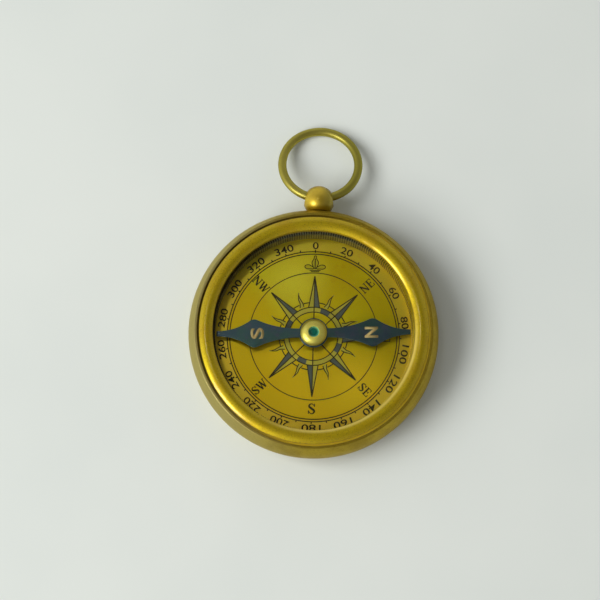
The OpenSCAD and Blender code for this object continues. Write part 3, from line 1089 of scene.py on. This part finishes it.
def blued_steel(name):
    """Heat-blued steel: dark slate that runs to green and violet."""
    made, tree, shader, place = new_material(name)
    heat = map_range(tree, noise(tree, place, STEEL_HEAT, 3.0), 0.35, 0.65)
    patch = map_range(tree, noise(tree, place, STEEL_PATCHES, 2.0), 0.52, 0.72, 0.0, 0.6)
    blue_green = mix_colour(tree, heat, STEEL_SLATE, STEEL_GREEN)
    colour = mix_colour(tree, patch, blue_green, STEEL_VIOLET)
    scuffs = place_group(tree, SCUFFS, place, Scale=STEEL_SCUFFS).outputs["Mask"]
    feed(tree, shader, colour, map_range(tree, scuffs, 0.0, 1.0, *STEEL_ROUGH))
    set_inputs(shader, {"Metallic": 1.0})
    grain = brushed_noise(tree, place, STEEL_BRUSH)
    bump(tree, shader, grain, strength=0.12, distance=TOOL_DEPTH)
    return made


# Bare steel: its grain, its roughness and its colours
BARE_CLOUDS = 700.0
BARE_ROUGH = (0.2, 0.4)
BARE_BRIGHT = (0.62, 0.62, 0.6, 1)
BARE_DULL = (0.4, 0.38, 0.35, 1)


def bright_steel(name):
    """Plain turned steel of the point, washers and screw."""
    made, tree, shader, place = new_material(name)
    colour, age = tarnish(tree, place, BARE_CLOUDS, BARE_BRIGHT, BARE_DULL, amount=0.6)
    feed(tree, shader, colour, map_range(tree, age, 0.0, 1.0, *BARE_ROUGH))
    set_inputs(shader, {"Metallic": 1.0})
    return made


# Glass: its dust, its tint, the tint of its shadow, and how much it mirrors
GLASS_DUST = 900.0
GLASS_TINT = (0.97, 0.985, 0.975, 1)
GLASS_SHADE = (0.96, 0.975, 0.965, 1)
GLASS_MIRROR = (0.12, 0.12, 0.12, 1)


def window_glass(name):
    """Clear crystal that lets the lamps through, with a trace of dust."""
    made, tree, shader, place = new_material(name)
    set_inputs(shader, {"Base Color": GLASS_TINT, "Specular Tint": GLASS_MIRROR})
    set_inputs(shader, {"Transmission Weight": 1.0, "IOR": 1.5})
    dust = map_range(tree, noise(tree, place, GLASS_DUST, 4.0), 0.55, 0.85, 0.0, 0.05)
    wire(tree, dust, shader.inputs["Roughness"])
    clear = add(tree, "ShaderNodeBsdfTransparent", Color=GLASS_SHADE)
    path = add(tree, "ShaderNodeLightPath")
    blend = add(tree, "ShaderNodeMixShader")
    wire(tree, path.outputs["Is Shadow Ray"], blend.inputs[0])
    wire(tree, shader.outputs[0], blend.inputs[1])
    wire(tree, clear.outputs[0], blend.inputs[2])
    wire(tree, blend.outputs[0], tree.nodes["Material Output"].inputs["Surface"])
    return made


# Stone: its clouds and their reach, its rim of painted sheen by radius, and its colours
STONE_CLOUDS = 900.0
STONE_CLOUD_REACH = 0.35 * MM
STONE_SHEEN_SPAN = (0.85 * MM, 1.35 * MM)
STONE_DEEP = (0.001, 0.085, 0.06, 1)
STONE_SHEEN = (0.12, 0.42, 0.30, 1)


def green_jewel(name):
    """Deep green stone, darker in its middle, with a painted turquoise sheen at its rim."""
    made, tree, shader, place = new_material(name)
    radius, _ = axis_distance(tree, place)
    clouds = times(tree, noise(tree, place, STONE_CLOUDS), STONE_CLOUD_REACH)
    # Painted sheen: pale turquoise at the stone's rim
    rim_sheen = map_range(tree, plus(tree, radius, clouds), *STONE_SHEEN_SPAN)
    wire(tree, mix_colour(tree, rim_sheen, STONE_DEEP, STONE_SHEEN), shader.inputs["Base Color"])
    set_inputs(shader, {"Roughness": 0.12, "Specular IOR Level": 0.3})
    return made


# Packing: its grain, its roughness and its colours
FIBRE_SPECKS = 900.0
FIBRE_ROUGH = (0.75, 0.9)
FIBRE_DARK = (0.035, 0.03, 0.025, 1)
FIBRE_LIGHT = (0.07, 0.06, 0.045, 1)


def fibre_packing(name):
    """Dark fibre of the glass's seal."""
    made, tree, shader, place = new_material(name)
    colour, fibres = tarnish(tree, place, FIBRE_SPECKS, FIBRE_DARK, FIBRE_LIGHT, amount=1.0)
    feed(tree, shader, colour, map_range(tree, fibres, 0.0, 1.0, *FIBRE_ROUGH))
    return made


# Floor: its side, its grain and its colours
FLOOR_SIDE = 6
FLOOR_CLOUDS = 14.0
FLOOR_SHADED = (0.73, 0.775, 0.74, 1)
FLOOR_PALE = (0.77, 0.81, 0.77, 1)


def pale_floor(name):
    """Plain matt floor with the least unevenness."""
    made, tree, shader, place = new_material(name)
    soft = map_range(tree, noise(tree, place, FLOOR_CLOUDS, 3.0), 0.3, 0.7)
    wire(tree, mix_colour(tree, soft, FLOOR_SHADED, FLOOR_PALE), shader.inputs["Base Color"])
    set_inputs(shader, {"Roughness": 0.9, "Specular IOR Level": 0.2})
    return made


def finish_nodes():
    """Gives every piece of the frame its finish."""
    case = turned_brass(
        "turned_case_brass",
        bright=(0.44, 0.32, 0.03, 1),
        dull=(0.33, 0.23, 0.02, 1),
        rough=(0.4, 0.56),
        pitch=0.05 * MM,
        lacquer=0.15,
        edge=(0.8, 0.72, 0.45, 1),
        # paler painted reflection towards the left
        left_sheen=(0.57, 0.5, 0.2, 1),
    )
    bezel = turned_brass(
        "polished_bezel_brass",
        bright=(0.76, 0.57, 0.004, 1),
        dull=(0.63, 0.42, 0.003, 1),
        rough=(0.42, 0.57),
        pitch=0.045 * MM,
        lacquer=0.9,
        edge=(0.95, 0.85, 0.5, 1),
        # painted highlight on the edge round the glass
        lip_highlight=(1.0, 0.8, 0.15, 1),
    )
    inner = turned_brass(
        "inner_brass",
        bright=(0.5, 0.4, 0.08, 1),
        dull=(0.32, 0.25, 0.05, 1),
        rough=(0.3, 0.5),
        pitch=0.05 * MM,
    )
    bow = satin_brass(
        "ring_brass",
        bright=(0.53, 0.46, 0.085, 1),
        dull=(0.42, 0.36, 0.06, 1),
        rough=(0.42, 0.55),
        scale=300.0,
        lacquer=0.2,
        edge=(0.3, 0.27, 0.1, 1),
        # painted shade towards the right
        shaded_side=(1 * MM, 8 * MM, (0.37, 0.335, 0.05, 1)),
    )
    ball = satin_brass(
        "ball_brass",
        bright=(0.86, 0.62, 0.045, 1),
        dull=(0.64, 0.43, 0.03, 1),
        rough=(0.42, 0.54),
        scale=300.0,
        lacquer=0.75,
        edge=(0.25, 0.2, 0.06, 1),
        # painted shade towards the right
        shaded_side=(-0.2 * MM, 2.4 * MM, (0.34, 0.27, 0.02, 1)),
    )
    cap = satin_brass(
        "cap_brass",
        bright=(0.92, 0.81, 0.16, 1),
        dull=(0.86, 0.69, 0.11, 1),
        rough=(0.44, 0.56),
        scale=500.0,
        lacquer=0.5,
    )
    steel = bright_steel("bright_turned_steel")
    finishes = {
        case: ["case_cup"],
        bezel: ["bezel"],
        reed_brass("tarnished_reed_brass"): ["reeded_ring"],
        bow: ["bow_ring"],
        ball: ["pendant_ball"],
        cap: ["needle_cap", "cap_collar"],
        inner: ["dial_seat", "glass_spring_ring", "pivot_post", "pivot_nut"],
        dial_plate("bright_dial_brass"): ["dial"],
        steel: ["pivot_pin", "pivot_washer", "ball_screw", "ball_washer"],
        window_glass("clear_crystal"): ["glass"],
        green_jewel("green_stone"): ["cap_jewel"],
        fibre_packing("dark_fibre"): ["glass_seal"],
    }
    for finish, names in finishes.items():
        for name in names:
            dress(nodes[name], finish)


def make_floor():
    """Pale floor under the compass."""
    deselect()
    bpy.ops.mesh.primitive_plane_add(size=FLOOR_SIDE)
    floor = bpy.context.object
    floor.name = "floor"
    floor.data.materials.append(pale_floor("pale_floor"))


# Room: its window's direction and glow, the direction of its brighter side, its
# light on the darker and the brighter side, and what is left of that overhead
WINDOW_SIDE = Vector((-0.66, -0.45, 0.62)).normalized()
WINDOW_GLOW = 0.25
BRIGHT_SIDE = (-0.75, 0.66, 0.0)
ROOM_LIGHT = (0.25, 0.55)
ROOM_COLOUR = (1.0, 0.99, 0.96, 1)
OVERHEAD = 0.3


def softbox(name, direction, distance, size, power, colour, mirrored_in_metal=True):
    """Square area lamp that looks at the compass from a direction."""
    lamp = bpy.data.lights.new(name, "AREA")
    lamp.shape = "SQUARE"
    lamp.size = size
    lamp.energy = power
    lamp.color = colour
    stand = bpy.data.objects.new(name, lamp)
    bpy.context.scene.collection.objects.link(stand)
    stand.location = Vector(direction).normalized() * distance
    stand.rotation_euler = Vector(direction).to_track_quat("Z", "Y").to_euler()
    stand.visible_glossy = mirrored_in_metal
    stand.visible_transmission = mirrored_in_metal


def light_room():
    """Room that is darker to the right and overhead, with a soft glow at its window."""
    world = bpy.data.worlds.new("soft_room")
    bpy.context.scene.world = world
    world.use_nodes = True
    tree = world.node_tree
    sky = add(tree, "ShaderNodeTexCoord").outputs["Generated"]
    sides = along(tree, sky, BRIGHT_SIDE)
    room = map_range(tree, sides, -1.0, 1.0, *ROOM_LIGHT, curve="LINEAR")
    glow = map_range(tree, along(tree, sky, WINDOW_SIDE), 0.5, 1.0, 0.0, WINDOW_GLOW)
    _, _, up = axes(tree, sky)
    ceiling = map_range(tree, up, 0.6, 0.97, 1.0, OVERHEAD)
    background = tree.nodes["Background"]
    strength = plus(tree, times(tree, room, ceiling), glow)
    wire(tree, strength, background.inputs["Strength"])
    set_inputs(background, {"Color": ROOM_COLOUR})


def set_lamps():
    """Soft window light from the left, a small lamp overhead and a fill that no metal shows."""
    softbox(
        "window_light", WINDOW_SIDE,
        distance=1.2, size=0.44, power=4.7, colour=(1.0, 0.99, 0.97),
    )
    softbox(
        "ceiling_lamp", (-0.21, 0.13, 0.965),
        distance=1.5, size=0.09, power=0.41, colour=(1.0, 0.99, 0.95),
    )
    softbox(
        "floor_fill", (-0.66, -0.02, 0.7),
        distance=1.2, size=0.6, power=7.2, colour=(1.0, 1.0, 1.0), mirrored_in_metal=False,
    )


# Viewpoint of the photograph: aim, tilt from the vertical, roll, distance and
# focal length in pixels of 600
VIEW_AIM = Vector((-3.284, 7.315, 6.0)) * MM
VIEW_TILT = math.radians(10)
VIEW_ROLL = math.radians(2.4)
VIEW_DISTANCE = 500 * MM
VIEW_FOCAL = 2270.2
FRAME_SIDE = 600

# Camera: its sensor's width in its own millimetres, and how near and far it sees
SENSOR_WIDTH = 36
NEAREST = 0.01
FARTHEST = 50


def set_camera():
    """Camera at the photograph's angle."""
    lens = bpy.data.cameras.new("camera")
    camera = bpy.data.objects.new("camera", lens)
    bpy.context.scene.collection.objects.link(camera)
    lens.sensor_width = SENSOR_WIDTH
    lens.lens = SENSOR_WIDTH * VIEW_FOCAL / FRAME_SIDE
    lens.clip_start = NEAREST
    lens.clip_end = FARTHEST
    tilt = Matrix.Rotation(VIEW_TILT, 4, "X")
    roll = Matrix.Rotation(VIEW_ROLL, 4, "Z")
    away = tilt @ Vector((0, 0, VIEW_DISTANCE))
    camera.matrix_world = Matrix.Translation(VIEW_AIM + away) @ tilt @ roll
    bpy.context.scene.camera = camera


finish_nodes()
ink = print_ink("dial_ink", (0.027, 0.02, 0.004, 1), (0.05, 0.037, 0.008, 1))
deep_ink = print_ink("dial_deep_ink", (0.01, 0.007, 0.002, 1), (0.022, 0.015, 0.004, 1))
grey_ink = print_ink("dial_grey_ink", (0.06, 0.07, 0.06, 1), (0.09, 0.095, 0.07, 1))
pale_ink = print_ink("dial_pale_wash", (0.6, 0.52, 0.07, 1), (0.56, 0.47, 0.05, 1), metallic=0.95)
lily_ink = print_ink("dial_lily_wash", (0.6, 0.5, 0.03, 1), (0.55, 0.45, 0.02, 1), metallic=0.97)
gilt = print_ink("gilt_leaf", (0.38, 0.285, 0.115, 1), (0.29, 0.205, 0.07, 1))
make_scale(ink)
make_bearing_letters(ink)
make_lily(deep_ink, lily_ink)
make_flames(ink, pale_ink)
make_star(ink, grey_ink, pale_ink)
make_rose(ink, grey_ink, pale_ink)
make_blade(blued_steel("heat_blued_steel"))
make_needle_letters(gilt)
make_floor()
light_room()
set_lamps()
set_camera()
bpy.context.scene.view_settings.view_transform = "Standard"
